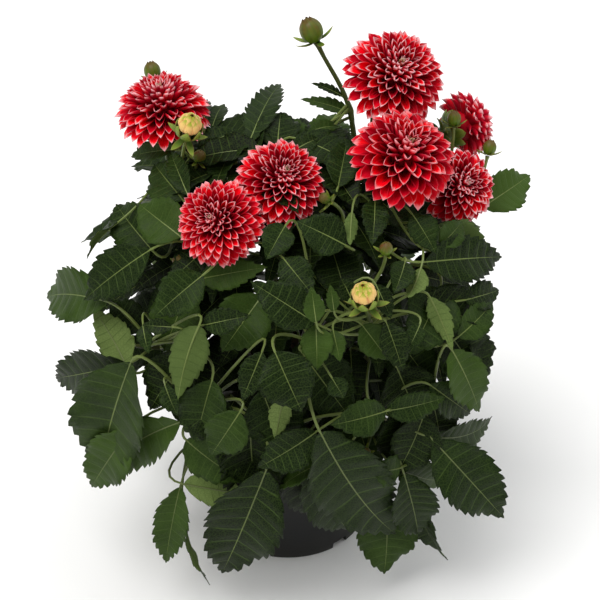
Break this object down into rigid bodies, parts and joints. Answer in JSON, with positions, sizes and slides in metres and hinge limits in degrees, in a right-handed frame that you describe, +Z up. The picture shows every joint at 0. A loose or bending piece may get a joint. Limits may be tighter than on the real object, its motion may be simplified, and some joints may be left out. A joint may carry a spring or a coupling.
{
  "type": "potted dahlia",
  "caption": "Bushy dahlia plant with red, white-edged ball-shaped blooms and toothed dark green leaves, standing in a round black plastic nursery pot.",
  "frame": {"origin": "centre of the pot's flat base, on the surface that it stands on", "axes": "+Z up along the pot's axis, -Y towards the side that shows most blooms, +X to the right seen from there"},
  "size_m": [0.4507, 0.39, 0.5269],
  "materials": {
    "pot_plastic": "black nursery pot, slightly glossy",
    "potting_soil": "matt, crumbly peat",
    "foliage": "dark green leaves with a slight gloss, paler underneath",
    "petals": "satin red with white edges and tips",
    "bud_petals": "satin, yellow-green to peach"
  },
  "bodies": {
    "root": {"pot": "pot_plastic", "soil": "potting_soil", "stem_bloom_1": "foliage", "bloom_1": "petals", "stem_bloom_2": "foliage", "bloom_2": "petals", "stem_bloom_3": "foliage", "bloom_3": "petals", "stem_bloom_4": "foliage", "bloom_4": "petals", "stem_bloom_5": "foliage", "bloom_5": "petals", "stem_bloom_6": "foliage", "bloom_6": "petals", "stem_bloom_7": "foliage", "bloom_7": "petals", "stem_tall_bud": "foliage", "stem_bud_front": "foliage", "stem_front": "foliage", "stem_front_left": "foliage", "stem_front_right": "foliage", "stem_left": "foliage", "stem_right": "foliage", "stem_back_left": "foliage", "stem_back": "foliage", "stem_back_right": "foliage", "bud_front": "bud_petals", "bud_left": "bud_petals"}
  },
  "joints": []
}
